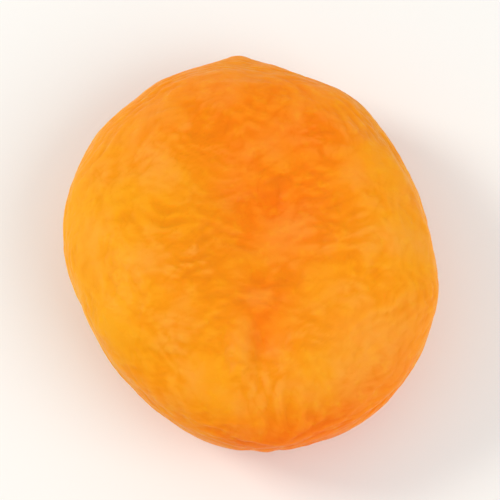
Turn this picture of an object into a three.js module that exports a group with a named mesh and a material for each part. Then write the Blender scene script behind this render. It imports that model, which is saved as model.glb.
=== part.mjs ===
// A whole pitted dried apricot, lying on its rounder face.
// Millimetres, +Z up. +Y points to the blossom tip, -Y to the stem end, and the dimpled face is up.
// The origin is at the bottom centre of the fruit, in the plane of the surface that it lies on.
// The fruit is one solid: a unit sphere's points are moved out to a thick rounded disc, and the
// dimple, folds, furrows and plates of skin are raised or sunk from that disc by formulas.

import * as THREE from "three";
import { ImprovedNoise } from "three/addons/math/ImprovedNoise.js";
import { mergeVertices } from "three/addons/utils/BufferGeometryUtils.js";

// Driving dimensions
const MEAN_RADIUS = 18.5; // of the outline seen from above
const LENGTHEN = 1.05; // stem to tip against side to side
const TOP_RISE = 7.5; // from the widest level up to the upper face
const UNDER_DROP = 8.1; // from the widest level down to the lower face
const ROUNDNESS = 2.5; // exponent of the cross-section: 2 is an ellipse, more is squarer
const SPHERE_STRETCH = 1.35; // gathers the points on the faces, where the relief is
const SPHERE_DETAIL = 22; // each face of the icosahedron is split into (this + 1) squared

// The outline departs from a circle by these shares of the radius, each with its own count of
// lobes and the direction of its first lobe in degrees
const OUTLINE_LOBES = [
  { count: 2, share: 0.056, toward: -54 },
  { count: 3, share: 0.0095, toward: 52 },
  { count: 4, share: 0.0083, toward: -22 },
  { count: 5, share: 0.0072, toward: -14 },
];

// The rim is not level and not equally plump all round
const WARP = { rise: 0.9, toward: 20 }; // the two ends of this direction bend up
const TILT = { rise: 0.5, toward: 250 };
const PLUMP_LOBES = [
  { count: 1, share: 0.07, toward: 215 },
  { count: 3, share: 0.045, toward: 100 },
];

// Where the stone was pressed out, the upper face has sunk
const DIMPLE = { x: 1.3, y: 2.6, across: 7.8, along: 9.6, depth: 2.5 };
const UNDER_HOLLOW = { x: -6.5, y: 5.5, across: 5.5, along: 6.5, depth: 0.8 };

// The blossom tip: a broad peak with a small nub on it
const TIP = { toward: 94, level: 0.06, peak: 0.75, spread: 15, nub: 0.75, nubSpread: 4.6 };

// The stem end, with the closed slit that the stone left by
const STEM = { toward: -84, level: -0.12, depth: 1.5, spread: 12 };
const SLIT = { halfLength: 4.2, depth: 0.75, width: 0.9, lip: 0.4, lipAt: 1.8 };
const PUCKERS = { count: 11, depth: 0.3, from: 3.2, near: 8, far: 24, sway: 2, seed: 4.5 };
const STEM_REACH = 36; // degrees from the stem end, past which it has no effect

// The suture, a shallow furrow along the right of the rim from the tip to the stem end
const SUTURE = {
  depth: 0.55,
  width: 1.1,
  from: 86,
  to: -72,
  easeFrom: 18, // degrees over which it fades out at the tip
  easeTo: 25, // and at the stem end
  level: 0.1,
  sway: 0.12,
  swayTurns: 2.4,
};

// Folds: each runs from one point to another, seen from above, and bows sideways between them.
// A fold is a furrow where its depth is positive and a ridge where it is negative.
const UPPER_FOLDS = [
  { from: [0.8, -8.2], to: [0.6, -14.4], bow: 0.4, depth: 0.75, width: 1.1 },
  { from: [2.3, -7.8], to: [2.1, -13.6], bow: 0.3, depth: 0.35, width: 1.3 },
  { from: [-1.0, -9.8], to: [-0.8, -14.2], bow: -0.2, depth: -0.6, width: 1.0 },
  { from: [-11.8, -11.4], to: [-1.8, -11.6], bow: -0.7, depth: 0.4, width: 1.2 },
  { from: [-14.6, 4.8], to: [-9.4, 8.0], bow: 0.6, depth: 0.26, width: 1.3 },
  { from: [9.4, -6.2], to: [12.8, -1.4], bow: -0.6, depth: 0.3, width: 1.2 },
  { from: [4.9, -9.6], to: [5.8, -14.0], bow: -0.5, depth: -0.3, width: 1.3 },
  { from: [-6.2, 5.4], to: [7.6, 4.4], bow: -1.5, depth: 0.45, width: 1.3 },
  { from: [-5.4, -0.6], to: [3.2, -2.4], bow: 1.0, depth: 0.35, width: 1.2 },
  { from: [3.0, 0.9], to: [8.0, 0.4], bow: 0.5, depth: -0.45, width: 1.4 },
  { from: [13.2, 8.2], to: [15.2, -4.6], bow: 1.2, depth: 0.3, width: 1.3 },
  { from: [-15.2, 0.6], to: [-12.9, -6.0], bow: 0.8, depth: 0.25, width: 1.3 },
];
const UNDER_FOLDS = [
  { from: [1.0, -8.0], to: [-1.6, -16.2], bow: 0.8, depth: 0.7, width: 1.4 },
  { from: [-12.4, 8.8], to: [-5.2, 12.8], bow: -1.0, depth: 0.5, width: 1.3 },
  { from: [10.0, 7.6], to: [14.0, -1.2], bow: 1.4, depth: 0.5, width: 1.4 },
  { from: [-9.5, -6.0], to: [-12.8, 1.8], bow: 1.0, depth: 0.45, width: 1.3 },
  { from: [5.6, -8.6], to: [8.2, -14.6], bow: -0.8, depth: 0.5, width: 1.3 },
];
const FOLD_STEPS = 10;
const FOLD_END = 0.35; // share of its depth that a fold keeps at its ends
const FACE_FADE = { start: -0.15, full: 0.45 }; // levels between which a face's own relief fades in

// Soft swellings, and the plates of skin with narrow valleys between them
const SWELLING = { height: 0.55, size: 10.5, seed: 0.4 };
const LUMP = { height: 0.2, size: 5.2, seed: 5.8 };
const PLATE = {
  depth: 0.26,
  across: 3.4,
  alongRim: 9,
  drawnOut: 1.9, // length over width in the middle of a face
  valley: 0.3,
  wander: 2.2,
  wanderSize: 7,
  unevenness: 0.6,
};
const PLATE_SEEDS = { round: 7.3, upper: 2.5, under: 9.5, over: 3.1, x: 11.7, y: 23.9, depth: 31.3 };
const MIDDLE = { radius: 8.5, blend: 4.5 }; // inside this the plates lie across, not round the rim
const FACE_TO_RIM = 22; // over the surface, from the middle of a face to the widest level

// The spot pressed flat where the fruit lies
const REST = { rollDegrees: -1.6, pitchDegrees: 0, sink: 0.65, easing: 0.18 };

const noise = new ImprovedNoise();
const radians = THREE.MathUtils.degToRad;
const { smoothstep, lerp } = THREE.MathUtils;

function bell(distance, width) {
  return Math.exp(-((distance / width) ** 2));
}

function lobes(list, angle) {
  return list.reduce((sum, l) => sum + l.share * Math.cos(l.count * (angle - radians(l.toward))), 1);
}

// Angle in degrees between a direction and a point on the rim at a given level
function degreesFrom(direction, spot) {
  const toward = radians(spot.toward);
  const there = new THREE.Vector3(Math.cos(toward), Math.sin(toward), spot.level).normalize();
  return THREE.MathUtils.radToDeg(direction.angleTo(there));
}

// The plain rounded disc: a point of it, its outward normal, and how far out towards the rim it is
function discPoint(direction) {
  const angle = Math.atan2(direction.y, direction.x);
  const flat = Math.hypot(direction.x, direction.y);
  const size = (flat ** ROUNDNESS + Math.abs(direction.z) ** ROUNDNESS) ** (-1 / ROUNDNESS);
  const out = flat * size;
  const level = direction.z * size;
  const radius = MEAN_RADIUS * lobes(OUTLINE_LOBES, angle);
  const half = (level > 0 ? TOP_RISE : UNDER_DROP) * lobes(PLUMP_LOBES, angle) ** out;
  const bend = WARP.rise * Math.cos(2 * (angle - radians(WARP.toward)));
  const lean = TILT.rise * Math.cos(angle - radians(TILT.toward));
  const point = new THREE.Vector3(
    radius * out * Math.cos(angle),
    LENGTHEN * radius * out * Math.sin(angle),
    half * level + (bend + lean) * out * out,
  );
  const steep = ROUNDNESS - 1;
  const normal = new THREE.Vector3(
    (out ** steep * Math.cos(angle)) / radius,
    (out ** steep * Math.sin(angle)) / (radius * LENGTHEN),
    (Math.sign(level) * Math.abs(level) ** steep) / half,
  ).normalize();
  return { angle, out, level, point, normal };
}

function sunkSpot(spot, x, y) {
  return -spot.depth * bell(Math.hypot((x - spot.x) / spot.across, (y - spot.y) / spot.along), 1);
}

// How far a point lies from a fold's curve, and how far along the curve its nearest point is
function nearestOnFold(fold, x, y) {
  const [x0, y0] = fold.from;
  const [x1, y1] = fold.to;
  const length = Math.hypot(x1 - x0, y1 - y0);
  const side = [-(y1 - y0) / length, (x1 - x0) / length];
  let nearest = { distance: Infinity, share: 0 };
  for (let i = 0; i <= FOLD_STEPS; i++) {
    const share = i / FOLD_STEPS;
    const bow = fold.bow * 4 * share * (1 - share);
    const distance = Math.hypot(
      x - lerp(x0, x1, share) - bow * side[0],
      y - lerp(y0, y1, share) - bow * side[1],
    );
    if (distance < nearest.distance) nearest = { distance, share };
  }
  return nearest;
}

function folds(list, x, y) {
  return list.reduce((sum, fold) => {
    const { distance, share } = nearestOnFold(fold, x, y);
    const fade = lerp(FOLD_END, 1, Math.sin(Math.PI * share));
    return sum - fold.depth * fade * bell(distance, fold.width);
  }, 0);
}

function tipRise(direction) {
  const away = degreesFrom(direction, TIP);
  return TIP.peak * bell(away, TIP.spread) + TIP.nub * bell(away, TIP.nubSpread);
}

// The stem end's hollow, its slit with two lips, and the puckers drawn in towards it
function stemRelief(direction, point) {
  const away = degreesFrom(direction, STEM);
  if (away > STEM_REACH) return 0;
  const toward = radians(STEM.toward);
  const along = -point.x * Math.sin(toward) + point.y * Math.cos(toward);
  const above = point.z - STEM.level * UNDER_DROP;
  const onSlit = bell(along, SLIT.halfLength) * bell(away, STEM.spread);
  const slit = -SLIT.depth * bell(above, SLIT.width);
  const lips = SLIT.lip * (bell(above - SLIT.lipAt, SLIT.width) + bell(above + SLIT.lipAt, SLIT.width));
  const turn = Math.atan2(above, along);
  const { count, from, near, far, sway, seed } = PUCKERS;
  const ring = smoothstep(away, from, near) * (1 - smoothstep(away, near, far));
  const pucker = PUCKERS.depth * Math.cos(count * turn + sway * noise.noise(along, above, seed));
  return -STEM.depth * bell(away, STEM.spread) + onSlit * (slit + lips) + ring * pucker;
}

function sutureFurrow(angle, level, out) {
  const degrees = THREE.MathUtils.radToDeg(angle);
  const atStem = smoothstep(degrees, SUTURE.to, SUTURE.to + SUTURE.easeTo);
  const atTip = 1 - smoothstep(degrees, SUTURE.from - SUTURE.easeFrom, SUTURE.from);
  const middle = SUTURE.level + SUTURE.sway * Math.sin(radians(degrees * SUTURE.swayTurns));
  const across = (level - middle) * TOP_RISE;
  return -SUTURE.depth * atStem * atTip * out ** 4 * bell(across, SUTURE.width);
}

// Plates of skin: |noise| is high on a plate and falls to nothing along the valley between two.
// The plates run round the rim, and across the fruit in the middle of a face.
function plateRelief(point, angle, out, level) {
  const wanderAt = (seed) => noise.noise(
    point.x / PLATE.wanderSize + seed,
    point.y / PLATE.wanderSize,
    point.z / PLATE.wanderSize,
  );
  const reach = out * MEAN_RADIUS;
  const overSurface = (Math.atan2(out, level) / (Math.PI / 2)) * FACE_TO_RIM;
  const turn = MEAN_RADIUS / PLATE.alongRim;
  const round = noise.noise(
    Math.cos(angle) * turn + PLATE_SEEDS.round,
    Math.sin(angle) * turn,
    (overSurface + PLATE.wander * wanderAt(PLATE_SEEDS.over)) / PLATE.across,
  );
  const acrossMiddle = noise.noise(
    (point.x + PLATE.wander * wanderAt(PLATE_SEEDS.x)) / (PLATE.across * PLATE.drawnOut),
    (point.y + PLATE.wander * wanderAt(PLATE_SEEDS.y)) / PLATE.across,
    level > 0 ? PLATE_SEEDS.upper : PLATE_SEEDS.under,
  );
  const inMiddle = 1 - smoothstep(reach, MIDDLE.radius - MIDDLE.blend, MIDDLE.radius + MIDDLE.blend);
  const field = lerp(round, acrossMiddle, inMiddle);
  const valley = 1 - smoothstep(Math.abs(field), 0, PLATE.valley);
  return -PLATE.depth * valley * PLATE.unevenness * (1 + wanderAt(PLATE_SEEDS.depth));
}

function swelling(point, { height, size, seed }) {
  return height * noise.noise(point.x / size + seed, point.y / size, point.z / size);
}

function fruitPoint(direction) {
  const { angle, out, level, point, normal } = discPoint(direction);
  const upper = smoothstep(level, FACE_FADE.start, FACE_FADE.full);
  const under = smoothstep(-level, FACE_FADE.start, FACE_FADE.full);
  const raised =
    upper * (sunkSpot(DIMPLE, point.x, point.y) + folds(UPPER_FOLDS, point.x, point.y)) +
    under * (sunkSpot(UNDER_HOLLOW, point.x, point.y) + folds(UNDER_FOLDS, point.x, point.y)) +
    tipRise(direction) +
    stemRelief(direction, point) +
    sutureFurrow(angle, level, out) +
    swelling(point, SWELLING) +
    swelling(point, LUMP) +
    plateRelief(point, angle, out, level);
  return point.addScaledVector(normal, raised);
}

// Height above the surface that the fruit lies on: what would sink into it is pressed flat
function settled(height) {
  if (height <= -REST.easing) return 0;
  if (height >= REST.easing) return height;
  return (height + REST.easing) ** 2 / (4 * REST.easing);
}

function fruitGeometry() {
  const sphere = new THREE.IcosahedronGeometry(1, SPHERE_DETAIL);
  sphere.deleteAttribute("normal");
  sphere.deleteAttribute("uv");
  const geometry = mergeVertices(sphere, 1e-5);
  const position = geometry.attributes.position;
  const direction = new THREE.Vector3();
  for (let i = 0; i < position.count; i++) {
    direction.fromBufferAttribute(position, i);
    direction.z *= SPHERE_STRETCH;
    position.setXYZ(i, ...fruitPoint(direction.normalize()));
  }
  geometry.rotateY(radians(REST.rollDegrees)).rotateX(radians(REST.pitchDegrees));
  geometry.computeBoundingBox();
  const lowest = geometry.boundingBox.min.z;
  for (let i = 0; i < position.count; i++) {
    position.setZ(i, settled(position.getZ(i) - lowest - REST.sink));
  }
  geometry.computeBoundingBox();
  const middle = geometry.boundingBox.getCenter(new THREE.Vector3());
  geometry.translate(-middle.x, -middle.y, 0);
  geometry.computeVertexNormals();
  return geometry;
}

const skin = new THREE.MeshStandardMaterial({ color: 0xf58a1c, roughness: 0.42, metalness: 0 });
const apricot = new THREE.Mesh(fruitGeometry(), skin);
apricot.name = "apricot";

const fruit = new THREE.Group();
fruit.add(apricot);

export default fruit;
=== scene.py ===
# A whole pitted dried apricot, lying on its rounder face with the dimpled face up.
# It is one piece of fruit, so it is one mesh: a rounded blank is wrapped onto the solid fruit,
# its skin is wrinkled, and its folds, slit and suture are sharpened.
# The skin is worked on in millimetres. Textures, lamps and the camera are in metres.

import math

import bpy
import numpy as np
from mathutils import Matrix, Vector


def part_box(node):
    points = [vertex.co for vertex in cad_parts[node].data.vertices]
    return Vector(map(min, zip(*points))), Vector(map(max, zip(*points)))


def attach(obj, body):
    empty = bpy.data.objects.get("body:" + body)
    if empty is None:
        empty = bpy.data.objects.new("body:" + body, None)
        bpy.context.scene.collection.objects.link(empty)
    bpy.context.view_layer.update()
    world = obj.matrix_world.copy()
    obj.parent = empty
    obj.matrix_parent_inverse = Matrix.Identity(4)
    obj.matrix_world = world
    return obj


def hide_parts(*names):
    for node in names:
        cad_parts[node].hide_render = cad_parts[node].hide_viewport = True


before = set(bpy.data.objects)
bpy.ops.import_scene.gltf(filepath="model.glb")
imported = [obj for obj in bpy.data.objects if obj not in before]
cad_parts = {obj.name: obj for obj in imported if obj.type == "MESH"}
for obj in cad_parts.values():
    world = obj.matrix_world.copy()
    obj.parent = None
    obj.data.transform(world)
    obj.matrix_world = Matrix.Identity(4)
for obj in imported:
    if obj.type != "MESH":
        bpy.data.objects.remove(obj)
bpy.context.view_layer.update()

MM = 0.001
LOW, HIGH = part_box("apricot")
MIDDLE = (LOW + HIGH) / 2
HALF_SIZE = np.array((HIGH - LOW) / 2) / MM

# The blank: how many strips the cube is cut into, before all of it is halved once
FACE_STRIPS = 70
SIDE_STRIPS = 50
LEVEL_WITHIN = 1e-4  # an edge that rises by less is level
ROUNDNESS = 2.5  # exponent of the cross-section: 2 is an ellipse, more is squarer
SMOOTHING = {"factor": 0.5, "iterations": 30}

# Places on the skin
FACE_TO_RIM = 22.0  # over the skin, from the middle of a face to the widest level
BELT_RADIUS = 17.0  # at which wrinkles round the rim have their true length
STEM_TOWARD = -84  # degrees round the fruit, 0 towards +X and 90 towards the blossom tip

# Sheets of chance swells, from which the wrinkles are taken
SHEET_SIZE = 48.0
SHEET_CELL = 0.16
SIZE_SPREAD = 0.45  # how much the swells of a sheet differ in size
LEAST_WAVE = 1e-3  # keeps the sheet's mean height out of the logarithm

# Three kinds of wrinkle. Round the rim and across a face each has its spacing and how many times
# longer it is. Then come its depth, how much less that is off the face, and its seed.
COARSE = {"rim": (2.6, 2.8), "face": (2.9, 2.8), "depth": 0.1, "less_off_face": 0.05, "seed": 11}
MIDDLING = {"rim": (1.5, 2.8), "face": (1.6, 2.4), "depth": 0.11, "less_off_face": 0.04, "seed": 83}
FINE = {"rim": (1.6, 2.8), "face": (1.6, 2.6), "depth": 0.085, "less_off_face": 0.02, "seed": 47}
COARSE_VALLEY = 0.6  # width of a valley, as a share of a sheet's spread of heights
FINE_VALLEY = 0.35
VALLEY_ROUNDING = 0.08
MIDDLING_STEEPNESS = 0.9

# How the wrinkles wind, and where over the skin they change from one run to the next
SWAY = {"spacing": 7.0, "by": 0.6}
FACE_ENDS = (7.5, 11.5)
STEM_STARTS = (8.0, 11.0)
STEM_ENDS = (15.0, 18.0)
STEM_TURNED = 0.1  # radians, to the middle of the wrinkles drawn in towards the stem end
STEM_SPREAD = 0.4
STEM_CLOSENESS = 0.8
STEM_SHIFT = 30.0  # along the sheet, so that they differ from those of the face
LEAST_WEIGHT = 1e-6

# Patches where the skin is more or less wrinkled, slanted so that they differ on the two faces
PATCHES = {"spacing": 9.0, "seed": 5, "mean": 0.9, "spread": 0.25, "least": 0.25, "most": 1.4, "slant": 2}
GROUNDED = (0.05, 0.9)  # heights between which the relief fades in, above the flat spot

# Sharp creases along the solid's folds: from, to, how far the line bows sideways, and depth
UPPER_CREASES = (
    ((0.6, -8.6), (0.4, -14.2), 0.4, 0.2),
    ((-11.8, -11.4), (-1.8, -11.6), -0.7, 0.14),
    ((-14.6, 4.8), (-9.4, 8.0), 0.6, 0.07),
    ((9.4, -6.2), (12.8, -1.4), -0.6, 0.1),
    ((-6.2, 5.4), (7.6, 4.4), -1.5, 0.14),
    ((-5.4, -0.6), (3.2, -2.4), 1.0, 0.12),
    ((2.4, -5.6), (0.9, -9.0), 0.6, 0.12),
    ((5.2, -7.4), (3.4, -12.4), -0.7, 0.12),
    ((-3.8, -7.6), (-2.8, -13.0), 0.6, 0.1),
)
UNDER_CREASES = (
    ((1.0, -8.0), (-1.6, -16.2), 0.8, 0.24),
    ((-12.4, 8.8), (-5.2, 12.8), -1.0, 0.18),
    ((10.0, 7.6), (14.0, -1.2), 1.4, 0.18),
    ((-9.5, -6.0), (-12.8, 1.8), 1.0, 0.16),
    ((5.6, -8.6), (8.2, -14.6), -0.8, 0.18),
)
CREASE_WIDTH = 0.42
CREASE_STEPS = 24
CREASE_WOBBLE = {"by": 0.22, "closeness": 4}

# The closed slit at the stem end, which wavers by so many radians of a wave in a millimetre
SLIT = {"height": 6.5, "half_length": 3.6, "depth": 0.4, "width": 0.3, "reach": 9}
SLIT_WAVER = {"by": 0.35, "radians": 1.3}

# The suture, which runs from the tip to the slit along the right of the rim. It fades in and out over
# so many degrees. It lies above the solid's widest level, and sways and wavers in so many waves a turn.
SUTURE = {"from": -66, "to": 84, "fades_in": 25, "fades_out": 18, "depth": 0.2, "width": 0.4}
SUTURE_SWAY = {"above": 0.75, "by": 0.9, "waves": 2.4}
SUTURE_WAVER = {"by": 0.15, "waves": 14}

# How much of the depth of the creases, the slit and the suture is sunk into the skin
CREASE_SHARE = 0.6

# The solid's widest level: two opposite sides of it bend up, it leans, and it rolls to the left
WIDEST = {"height": 7.77, "roll": 0.028}
RIM_BEND = {"by": 0.9, "toward": 20}
RIM_LEAN = {"by": 0.5, "toward": 250}

# How much painted shade darkens the skin in its hollows: a full hollow is this deep, and creases count
# for less
FULL_HOLLOW = 0.2
CREASE_SHADE = 0.25

# How far the skin's colour goes from yellow-orange, 0, to deep orange, 1
EVERYWHERE = 0.14
UNDERSIDE = {"deeper": 0.3, "full": FACE_TO_RIM + 12}
DIMPLE = {"spot": (1.9, 4.2, 7.3, 9.6), "deeper": 0.75, "fades_from": 12}
RUN_DOWN = {"x": 1.5, "half_width": 2.4, "starts": (-13.5, -10), "ends": (-8, -3), "deeper": 0.45}

# Sides of the fruit: towards which degree, spread in radians, where over the skin the colour starts
# and is full, and how much deeper it is, or paler where that is negative
SIDES = (
    (82, 0.95, 4, 13, 0.34),
    (127, 0.42, 6, 12, 0.16),
    (STEM_TOWARD + 8, 0.8, 10.8, 17.6, 0.85),
    (188, 0.6, 7, 12, -0.24),
)

# Spots of painted light on the dimpled face: middle, half width, half length and how much paler they are.
# They lighten the shade on the dimple's left wall and its bottom, and paint a highlight on the ridge
# beside the main fold.
PAINTED_LIGHT_SPOTS = (
    ((-6.0, 2.2, 4.6, 4.6), 0.22),
    ((2.5, 6.2, 2.5, 2.5), 0.25),
    ((-0.9, -11.8, 0.9, 2.2), 0.18),
)
# Spots of painted highlight, as middle, half width and half length: on the ridge beside the main fold and
# on three other places
PAINTED_HIGHLIGHT_SPOTS = (
    (-0.9, -11.2, 0.9, 2.0),
    (3.6, 0.6, 2.3, 0.9),
    (0.8, -6.5, 1.4, 0.9),
    (10.4, -10.0, 3.0, 2.6),
)

# How large the skin's textures are, in metres
BLOTCH_SIZE = 0.009
# patches of painted sheen on the ridges
SHEEN_PATCH_SIZE = 0.0048
MOTTLE_SIZE = 0.0011
HAIR_LINE_SIZE = 0.0011
GRAIN_SIZE = 0.00042
BUMP_HEIGHT = 0.0001

# The skin's colours. The painted shade of its hollows is multiplied in, and the painted sheen of its
# ridges is added.
YELLOW_ORANGE = (0.98, 0.378, 0.004, 1)
DEEP_ORANGE = (0.97, 0.182, 0.001, 1)
MOTTLE = (1.0, 0.43, 0.008, 1)
# Paler ridges: partly the skin's own colour, partly painted sheen
RIDGE_TONE_AND_SHEEN = (1.0, 0.5, 0.04, 1)
PAINTED_HOLLOW_SHADE = (0.88, 0.8, 0.5, 1)
PAINTED_SHEEN = (0.0, 0.008, 0.022, 1)
# Colour of the painted highlights on a few spots
PAINTED_HIGHLIGHT_COLOUR = (1.0, 0.35, 0.035, 1)

# Inputs of the skin's shader that are the same all over
SKIN_VALUES = {
    "Subsurface Weight": 0.7,
    "Subsurface Radius": (1.0, 0.5, 0.2),
    "Subsurface Scale": 0.00036,
    "Coat Weight": 0.03,
    "Coat Roughness": 0.35,
    "IOR": 1.36,
    "Specular IOR Level": 0.22,
    "Specular Tint": (1, 0.86, 0.6, 1),
}

# Inputs and output of a node that mixes colours, which share their names with those for other values
MIX_INPUTS = (0, 6, 7)
MIX_OUTPUT = 2

# The room. A lamp's values are its azimuth and elevation in degrees, distance, size, watts and colour.
FLOOR = {"size": 6, "height": -0.00002, "colour": (0.92, 0.92, 0.91, 1), "roughness": 0.8}
LAMPS = {
    "key": (-108, 38, 0.5, 0.16, 0.98, (1, 0.96, 0.86)),
    "fill": (62, 42, 0.6, 0.5, 1.52, (1, 0.97, 0.92)),
}
DAYLIGHT = 0.61
CAMERA = {"elevation": 74, "distance": 0.34, "aimed_at": 0.0072, "lens": 250, "near": 0.01, "far": 20}


# Modelling helpers


def select_only(obj):
    bpy.ops.object.select_all(action="DESELECT")
    obj.select_set(True)
    bpy.context.view_layer.objects.active = obj


def apply_modifier(obj, kind, **settings):
    select_only(obj)
    modifier = obj.modifiers.new(kind.title(), kind)
    for name, value in settings.items():
        setattr(modifier, name, value)
    bpy.ops.object.modifier_apply(modifier=modifier.name)


def points_of(obj):
    """The mesh's vertices in millimetres."""
    flat = np.empty(len(obj.data.vertices) * 3, np.float32)
    obj.data.vertices.foreach_get("co", flat)
    return flat.reshape(-1, 3).astype(float) / MM


def set_points(obj, points):
    obj.data.vertices.foreach_set("co", (points * MM).astype(np.float32).ravel())
    obj.data.update()


def normals_of(obj):
    flat = np.empty(len(obj.data.vertices) * 3, np.float32)
    obj.data.vertex_normals.foreach_get("vector", flat)
    return flat.reshape(-1, 3).astype(float)


def store(obj, name, values):
    """Keeps a value for each vertex, which the material reads by its name."""
    attribute = obj.data.attributes.new(name, "FLOAT", "POINT")
    attribute.data.foreach_set("value", values.astype(np.float32))


def bell(distance, width):
    return np.exp(-((distance / width) ** 2))


def ramp(value, start, end):
    """0 before start, 1 after end, and a smooth rise between them."""
    share = np.clip((value - start) / (end - start), 0, 1)
    return share * share * (3 - 2 * share)


def spot_bell(x, y, spot):
    """1 in the middle of a spot, falling off over its half width and half length."""
    middle_x, middle_y, half_width, half_length = spot
    return bell(np.hypot((x - middle_x) / half_width, (y - middle_y) / half_length), 1)


def turned_from(angle, toward):
    """How far an angle in radians is turned from a direction in degrees, from minus pi to pi."""
    turned = angle - math.radians(toward)
    return np.arctan2(np.sin(turned), np.cos(turned))


# The blank and its wrapping onto the fruit


def cut_cube():
    """A cube with square faces cut finer on top and below than round its sides."""
    bpy.ops.object.select_all(action="DESELECT")
    bpy.ops.mesh.primitive_cube_add(size=2)
    blank = bpy.context.object
    for upright, strips in ((True, SIDE_STRIPS), (False, FACE_STRIPS)):
        bpy.ops.object.mode_set(mode="EDIT")
        bpy.ops.mesh.select_all(action="DESELECT")
        bpy.ops.mesh.select_mode(type="EDGE")
        bpy.ops.object.mode_set(mode="OBJECT")
        corners = blank.data.vertices
        for edge in blank.data.edges:
            a, b = (corners[i].co for i in edge.vertices)
            edge.select = (abs(a.z - b.z) > LEVEL_WITHIN) == upright
        bpy.ops.object.mode_set(mode="EDIT")
        bpy.ops.mesh.subdivide(number_cuts=strips - 1)
    bpy.ops.mesh.select_all(action="SELECT")
    bpy.ops.mesh.subdivide(number_cuts=1)
    bpy.ops.object.mode_set(mode="OBJECT")
    return blank


def round_off(blank):
    """Rounds the cut cube into a thick disc of the fruit's size. Gives each vertex's place on the skin:
    its angle round the fruit, and how far over the skin it is from the middle of the upper face."""
    cube = np.tan(points_of(blank) * MM * math.pi / 4)
    toward = cube / np.linalg.norm(cube, axis=1)[:, None]
    flat = np.hypot(toward[:, 0], toward[:, 1])
    size = (flat**ROUNDNESS + np.abs(toward[:, 2]) ** ROUNDNESS) ** (-1 / ROUNDNESS)
    set_points(blank, toward * size[:, None] * HALF_SIZE + np.array(MIDDLE) / MM)
    angle = np.arctan2(toward[:, 1], toward[:, 0])
    over = np.arctan2(flat, toward[:, 2]) / (math.pi / 2) * FACE_TO_RIM
    return angle, over


def wrap_onto_fruit(blank):
    apply_modifier(
        blank,
        "SHRINKWRAP",
        target=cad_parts["apricot"],
        wrap_method="PROJECT",
        use_positive_direction=True,
        use_negative_direction=True,
    )
    apply_modifier(blank, "SMOOTH", **SMOOTHING)


# Wrinkles


def wrinkle_sheet(size, spacing, stretch, seed):
    """A sheet of chance swells about spacing apart that repeats at its edges, of unit spread.
    It crosses zero along winding lines, which become the valleys of the wrinkled skin.
    stretch draws the swells out along x."""
    chance = np.random.default_rng(seed)
    cells = [round(length / SHEET_CELL) for length in size]
    along = np.fft.fftfreq(cells[0], SHEET_CELL)[:, None] * stretch
    across = np.fft.rfftfreq(cells[1], SHEET_CELL)[None, :]
    waves = np.maximum(np.hypot(along, across) * spacing, LEAST_WAVE)
    kept = np.exp(-((np.log(waves) / SIZE_SPREAD) ** 2))
    height = np.fft.irfft2(np.fft.rfft2(chance.standard_normal(cells)) * kept, s=cells)
    return height / height.std()


def sample(sheet, x, y):
    """The sheet's height at x, y, between its cells."""
    u, v = x / SHEET_CELL, y / SHEET_CELL
    i, j = np.floor(u).astype(int), np.floor(v).astype(int)
    du, dv = u - i, v - j
    rows, columns = sheet.shape
    i0, i1, j0, j1 = i % rows, (i + 1) % rows, j % columns, (j + 1) % columns
    low = sheet[i0, j0] * (1 - du) + sheet[i1, j0] * du
    high = sheet[i0, j1] * (1 - du) + sheet[i1, j1] * du
    return low * (1 - dv) + high * dv


def wrinkle_swells(kind, place):
    """The swells of one kind of wrinkle all over the fruit: they run round the rim and across the
    middle of each face, and draw in towards the stem end. Sways bend them."""
    angle, over, x, y = place
    square = (SHEET_SIZE, SHEET_SIZE)
    belt = (2 * math.pi * BELT_RADIUS, SHEET_SIZE)
    seed = kind["seed"]
    side = np.where(over > FACE_TO_RIM, SHEET_SIZE / 2, 0.0)
    sways = [wrinkle_sheet(square, SWAY["spacing"], 1.0, seed + i) for i in (1, 2)]
    sway, sway_y = (SWAY["by"] * sample(each, x + side, y) for each in sways)
    rim_sheet = wrinkle_sheet(belt, *kind["rim"], seed)
    face_sheet = wrinkle_sheet(square, *kind["face"], seed + 3)
    turn = turned_from(angle, STEM_TOWARD)
    round_rim = sample(rim_sheet, angle * BELT_RADIUS, over + sway)
    across_face = sample(face_sheet, x + sway + side, y + sway_y)
    drawn_in = sample(face_sheet, over + STEM_SHIFT + sway_y, turn * BELT_RADIUS * STEM_CLOSENESS)
    weights = run_weights(turn, over)
    return weights[0] * round_rim + weights[1] * across_face + weights[2] * drawn_in


def face_share(over):
    """1 in the middle of each face, and 0 nearer the rim."""
    return 1 - ramp(np.minimum(over, 2 * FACE_TO_RIM - over), *FACE_ENDS)


def run_weights(turn, over):
    """How much each run of wrinkles counts: round the rim, across a face, and towards the stem end."""
    from_middle = np.minimum(over, 2 * FACE_TO_RIM - over)
    at_face = face_share(over)
    at_stem = bell(turn - STEM_TURNED, STEM_SPREAD) * ramp(from_middle, *STEM_STARTS)
    at_stem = at_stem * (1 - ramp(from_middle, *STEM_ENDS))
    at_rim = (1 - at_face) * (1 - at_stem)
    weights = np.sqrt(np.array([at_rim, at_face, at_stem]) + LEAST_WEIGHT)
    return weights / np.sqrt((weights**2).sum(0))


def valley(height, width):
    """1 along the lines where a sheet of swells crosses zero, falling off to plates between them."""
    return np.exp(-np.sqrt(height**2 + VALLEY_ROUNDING * width**2) / width)


def step(height, steepness):
    """1 in the low parts of a sheet of swells and 0 on the high ones."""
    return 0.5 - 0.5 * np.tanh(steepness * height)


def wrinkle_depth(place):
    """How deep the wrinkles sink the skin: two kinds are valleys, and the middling one is steps."""
    off_face = 1 - face_share(place[1])
    depth = np.zeros(len(off_face))
    for kind, shape, form in (
        (COARSE, valley, COARSE_VALLEY),
        (MIDDLING, step, MIDDLING_STEEPNESS),
        (FINE, valley, FINE_VALLEY),
    ):
        deepest = kind["depth"] - kind["less_off_face"] * off_face
        depth += deepest * shape(wrinkle_swells(kind, place), form)
    return depth


# Creases, slit and suture


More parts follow.
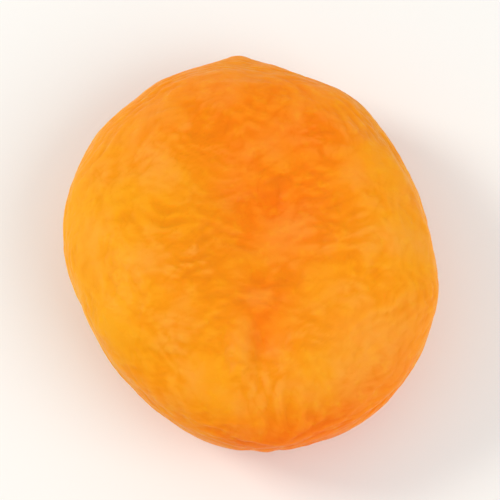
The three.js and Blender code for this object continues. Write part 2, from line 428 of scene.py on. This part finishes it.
def crease_depth(creases, x, y):
    """How deep the creases are at x, y: each is a narrow line that fades out at its ends."""
    depth = np.zeros(len(x))
    for start, end, bow, deepest in creases:
        start, end = np.array(start), np.array(end)
        run = (end - start) / np.linalg.norm(end - start)
        side = np.array((-run[1], run[0]))
        nearest = np.full(len(x), np.inf)
        share_at = np.zeros(len(x))
        for share in np.linspace(0, 1, CREASE_STEPS):
            step = start + (end - start) * share + side * bow * 4 * share * (1 - share)
            away = np.hypot(x - step[0], y - step[1])
            share_at = np.where(away < nearest, share, share_at)
            nearest = np.minimum(nearest, away)
        depth += deepest * np.sin(math.pi * share_at) ** 0.5 * bell(nearest, CREASE_WIDTH)
    return depth


def slit_depth(angle, z):
    """The closed slit at the stem end."""
    along = BELT_RADIUS * (angle - math.radians(STEM_TOWARD))
    waver = SLIT_WAVER["by"] * np.sin(SLIT_WAVER["radians"] * along)
    slit = bell(z - SLIT["height"] - waver, SLIT["width"]) * bell(along, SLIT["half_length"])
    return SLIT["depth"] * np.where(np.abs(along) < SLIT["reach"], slit, 0)


def suture_depth(angle, x, z):
    """The suture along the right of the rim, which fades out at its ends."""
    degrees = np.degrees(angle)
    shown = ramp(degrees, SUTURE["from"], SUTURE["from"] + SUTURE["fades_in"])
    shown = shown * (1 - ramp(degrees, SUTURE["to"] - SUTURE["fades_out"], SUTURE["to"]))
    return SUTURE["depth"] * bell(z - suture_height(angle, x), SUTURE["width"]) * shown


def suture_height(angle, x):
    """The height at which the suture lies, along the furrow of the solid."""
    bend = RIM_BEND["by"] * np.cos(2 * (angle - math.radians(RIM_BEND["toward"])))
    lean = RIM_LEAN["by"] * np.cos(angle - math.radians(RIM_LEAN["toward"]))
    sway = SUTURE_SWAY["above"] + SUTURE_SWAY["by"] * np.sin(SUTURE_SWAY["waves"] * angle)
    waver = SUTURE_WAVER["by"] * np.sin(SUTURE_WAVER["waves"] * angle)
    return WIDEST["height"] + WIDEST["roll"] * x + bend + lean + sway + waver


# The skin


def deeper_orange(angle, over, x, y):
    """0 where the skin is yellow-orange and 1 where it is deep orange."""
    upper = over < FACE_TO_RIM
    deeper = EVERYWHERE + UNDERSIDE["deeper"] * ramp(over, FACE_TO_RIM, UNDERSIDE["full"])
    for toward, spread, start, full, more in SIDES:
        deeper += more * bell(turned_from(angle, toward), spread) * ramp(over, start, full)
    dimple = spot_bell(x, y, DIMPLE["spot"]) * (1 - ramp(over, DIMPLE["fades_from"], FACE_TO_RIM))
    run_down = bell(x - RUN_DOWN["x"], RUN_DOWN["half_width"]) * ramp(y, *RUN_DOWN["starts"])
    run_down = run_down * (1 - ramp(y, *RUN_DOWN["ends"])) * upper
    deeper += DIMPLE["deeper"] * dimple + RUN_DOWN["deeper"] * run_down
    # Painted light: paler where shade falls on the dimple's left wall and bottom, and a painted highlight
    # on the ridge beside the main fold
    for spot, paler in PAINTED_LIGHT_SPOTS:
        deeper -= paler * spot_bell(x, y, spot) * upper
    return np.clip(deeper, 0, 1)


def wrinkle_skin(fruit, angle, over):
    """Sinks the wrinkles and creases into the skin, and stores what its colours need."""
    points, normals = points_of(fruit), normals_of(fruit)
    x, y, z = points.T
    upper = over < FACE_TO_RIM
    depth = wrinkle_depth((angle, over, x, y))
    patches = wrinkle_sheet((SHEET_SIZE, SHEET_SIZE), PATCHES["spacing"], 1.0, PATCHES["seed"])
    patch = PATCHES["mean"] + PATCHES["spread"] * sample(patches, x + PATCHES["slant"] * z, y)
    depth *= np.clip(patch, PATCHES["least"], PATCHES["most"])

    closeness = CREASE_WOBBLE["closeness"]
    wobble = CREASE_WOBBLE["by"] * sample(patches, x * closeness, y * closeness)
    wobbly = (x + wobble, y + wobble)
    creased = np.where(upper, crease_depth(UPPER_CREASES, *wobbly), crease_depth(UNDER_CREASES, *wobbly))
    creased += slit_depth(angle, z) + suture_depth(angle, x, z)

    # How hollow the skin is, which the material turns into painted shade in the hollows and paler, partly
    # painted sheen on the ridges
    store(fruit, "hollow", (depth + CREASE_SHADE * creased) / FULL_HOLLOW)
    # How deep orange the skin is, with painted light on a few spots of the dimpled face
    store(fruit, "orange_and_painted_light", deeper_orange(angle, over, x, y))
    # Spots of painted highlight on the dimpled face
    painted_highlight = np.max([spot_bell(*wobbly, spot) for spot in PAINTED_HIGHLIGHT_SPOTS], axis=0)
    store(fruit, "painted_highlight", np.where(upper, painted_highlight, 0))
    depth += CREASE_SHARE * creased
    set_points(fruit, points - normals * (depth * ramp(z, *GROUNDED))[:, None])


fruit = cut_cube()
fruit.name = "dried_apricot"
angle, over = round_off(fruit)
wrap_onto_fruit(fruit)
wrinkle_skin(fruit, angle, over)
select_only(fruit)
bpy.ops.object.shade_smooth()


# Nodes of a material


def add_node(tree, kind, **values):
    """Adds a node. A value whose name is a socket's is set there, or linked if it is an output."""
    node = tree.nodes.new(kind)
    for name, value in values.items():
        socket = node.inputs.get(name.replace("_", " "))
        if socket is None:
            setattr(node, name, value)
        elif isinstance(value, bpy.types.NodeSocket):
            tree.links.new(value, socket)
        else:
            socket.default_value = value
    return node


def stored(tree, name):
    """What was stored for each vertex under a name."""
    return add_node(tree, "ShaderNodeAttribute", attribute_name=name).outputs["Fac"]


def mix_colours(tree, share, first, second, blend="MIX"):
    mix = add_node(tree, "ShaderNodeMix", data_type="RGBA", blend_type=blend)
    for index, value in zip(MIX_INPUTS, (share, first, second)):
        if isinstance(value, bpy.types.NodeSocket):
            tree.links.new(value, mix.inputs[index])
        else:
            mix.inputs[index].default_value = value
    return mix.outputs[MIX_OUTPUT]


def combine(tree, operation, first, second):
    node = add_node(tree, "ShaderNodeMath", operation=operation)
    tree.links.new(first, node.inputs[0])
    tree.links.new(second, node.inputs[1])
    return node.outputs[0]


def ranged(tree, value, low, high, to_low=0.0, to_high=1.0):
    """Spreads the part of a value between low and high over to_low to to_high."""
    limits = {"From Min": low, "From Max": high, "To Min": to_low, "To Max": to_high}
    node = add_node(tree, "ShaderNodeMapRange", Value=value)
    for name, limit in limits.items():
        node.inputs[name].default_value = limit
    return node.outputs["Result"]


def noise(tree, place, size, detail=2.0, roughness=0.5, distortion=0.0, kind="FBM"):
    """A noise whose blotches are about size across, in metres."""
    node = add_node(
        tree,
        "ShaderNodeTexNoise",
        noise_type=kind,
        Vector=place,
        Scale=1 / size,
        Detail=detail,
        Roughness=roughness,
        Distortion=distortion,
    )
    return node.outputs["Fac"]


# Moist apricot skin: it lets light in and shines like satin; shade is painted into its folds, and sheen
# and highlights onto its ridges


def skin_colour(tree, place, mottle):
    orange_and_painted_light, hollow, painted_highlight = (stored(tree, name) for name in ("orange_and_painted_light", "hollow", "painted_highlight"))
    blotches = noise(tree, place, BLOTCH_SIZE, detail=2.5)
    blotched_orange_and_painted_light = combine(tree, "ADD", orange_and_painted_light, ranged(tree, blotches, 0.3, 0.7, -0.07, 0.07))
    colour = mix_colours(tree, ranged(tree, blotched_orange_and_painted_light, 0, 1), YELLOW_ORANGE, DEEP_ORANGE)
    colour = mix_colours(tree, ranged(tree, mottle, 0.52, 0.75, 0, 0.35), colour, MOTTLE)
    # Paler ridges, partly their own colour and partly painted sheen
    colour = mix_colours(tree, ranged(tree, hollow, 0.0, 0.6, 0.16, 0), colour, RIDGE_TONE_AND_SHEEN)
    # Painted shade, multiplied into the hollows and creases
    colour = mix_colours(tree, ranged(tree, hollow, 0.2, 1.2), colour, PAINTED_HOLLOW_SHADE, blend="MULTIPLY")
    # Painted sheen, added on the ridges in patches
    ridge_sheen = painted_ridge_sheen(tree, place, orange_and_painted_light, hollow)
    colour = mix_colours(tree, ridge_sheen, colour, PAINTED_SHEEN, blend="ADD")
    # Painted highlights on a few spots
    return mix_colours(tree, ranged(tree, painted_highlight, 0, 1, 0, 0.5), colour, PAINTED_HIGHLIGHT_COLOUR)


def painted_ridge_sheen(tree, place, orange_and_painted_light, hollow):
    """Patches of painted sheen on the ridges, weaker on the palest and on the deepest skin."""
    ridge_sheen = ranged(tree, noise(tree, place, SHEEN_PATCH_SIZE, detail=3), 0.42, 0.62)
    ridges = ranged(tree, hollow, 0.2, 0.7, 1, 0.05)
    not_deep = ranged(tree, orange_and_painted_light, 0.2, 0.9, 1, 0.3)
    not_pale = ranged(tree, orange_and_painted_light, 0.0, 0.14, 0.4, 1)
    for share in (ridges, not_deep, not_pale):
        ridge_sheen = combine(tree, "MULTIPLY", ridge_sheen, share)
    return ridge_sheen


def skin_grain(tree, place):
    """Fine grain, with hair lines over it."""
    grain = noise(tree, place, GRAIN_SIZE, detail=3, roughness=0.55, distortion=0.4)
    grain_bump = add_node(tree, "ShaderNodeBump", Strength=0.7, Distance=BUMP_HEIGHT, Height=grain)
    lines = noise(
        tree,
        place,
        HAIR_LINE_SIZE,
        detail=2.5,
        roughness=0.6,
        distortion=0.6,
        kind="RIDGED_MULTIFRACTAL",
    )
    line_bump = add_node(
        tree,
        "ShaderNodeBump",
        invert=True,
        Strength=0.9,
        Distance=BUMP_HEIGHT,
        Height=lines,
        Normal=grain_bump.outputs["Normal"],
    )
    return line_bump.outputs["Normal"]


def apricot_skin():
    material = bpy.data.materials.new("moist apricot skin")
    material.use_nodes = True
    tree = material.node_tree
    skin = tree.nodes["Principled BSDF"]
    skin.subsurface_method = "RANDOM_WALK"
    for name, value in SKIN_VALUES.items():
        skin.inputs[name].default_value = value
    place = add_node(tree, "ShaderNodeTexCoord").outputs["Object"]
    mottle = noise(tree, place, MOTTLE_SIZE, detail=3, roughness=0.6)
    tree.links.new(skin_colour(tree, place, mottle), skin.inputs["Base Color"])
    tree.links.new(ranged(tree, mottle, 0.3, 0.7, 0.5, 0.36), skin.inputs["Roughness"])
    tree.links.new(skin_grain(tree, place), skin.inputs["Normal"])
    return material


# Floor, lamps and camera


def pale_floor():
    material = bpy.data.materials.new("pale floor")
    material.use_nodes = True
    sheen = material.node_tree.nodes["Principled BSDF"]
    sheen.inputs["Base Color"].default_value = FLOOR["colour"]
    sheen.inputs["Roughness"].default_value = FLOOR["roughness"]
    bpy.ops.object.select_all(action="DESELECT")
    bpy.ops.mesh.primitive_plane_add(size=FLOOR["size"], location=(0, 0, FLOOR["height"]))
    floor = bpy.context.object
    floor.name = "floor"
    floor.data.materials.append(material)


def soft_light(name, azimuth, elevation, distance, size, watts, colour):
    """A square lamp facing the fruit. Azimuth 0 is the camera's side, 90 is to its right."""
    a, e = math.radians(azimuth), math.radians(elevation)
    lamp = bpy.data.lights.new(name, "AREA")
    lamp.size = size
    lamp.energy = watts
    lamp.color = colour
    holder = bpy.data.objects.new(name, lamp)
    bpy.context.scene.collection.objects.link(holder)
    toward = Vector((math.sin(a) * math.cos(e), -math.cos(a) * math.cos(e), math.sin(e)))
    holder.location = toward * distance
    holder.rotation_euler = (-toward).to_track_quat("-Z", "Y").to_euler()


def set_camera():
    """Looks at the dimpled face at the photograph's angle, from far enough for mild perspective."""
    elevation = math.radians(CAMERA["elevation"])
    toward = Vector((0, -math.cos(elevation), math.sin(elevation)))
    lens = bpy.data.cameras.new("camera")
    lens.lens = CAMERA["lens"]
    lens.clip_start = CAMERA["near"]
    lens.clip_end = CAMERA["far"]
    camera = bpy.data.objects.new("camera", lens)
    bpy.context.scene.collection.objects.link(camera)
    camera.location = Vector((0, 0, CAMERA["aimed_at"])) + toward * CAMERA["distance"]
    camera.rotation_euler = (-toward).to_track_quat("-Z", "Y").to_euler()
    bpy.context.scene.camera = camera


def white_room():
    world = bpy.data.worlds.new("white room")
    world.use_nodes = True
    backdrop = world.node_tree.nodes["Background"]
    backdrop.inputs["Color"].default_value = (1, 1, 1, 1)
    backdrop.inputs["Strength"].default_value = DAYLIGHT
    bpy.context.scene.world = world
    bpy.context.scene.view_settings.view_transform = "Standard"


fruit.data.materials.clear()
fruit.data.materials.append(apricot_skin())
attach(fruit, "root")
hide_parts("apricot")

pale_floor()
for name, values in LAMPS.items():
    soft_light(name, *values)
white_room()
set_camera()
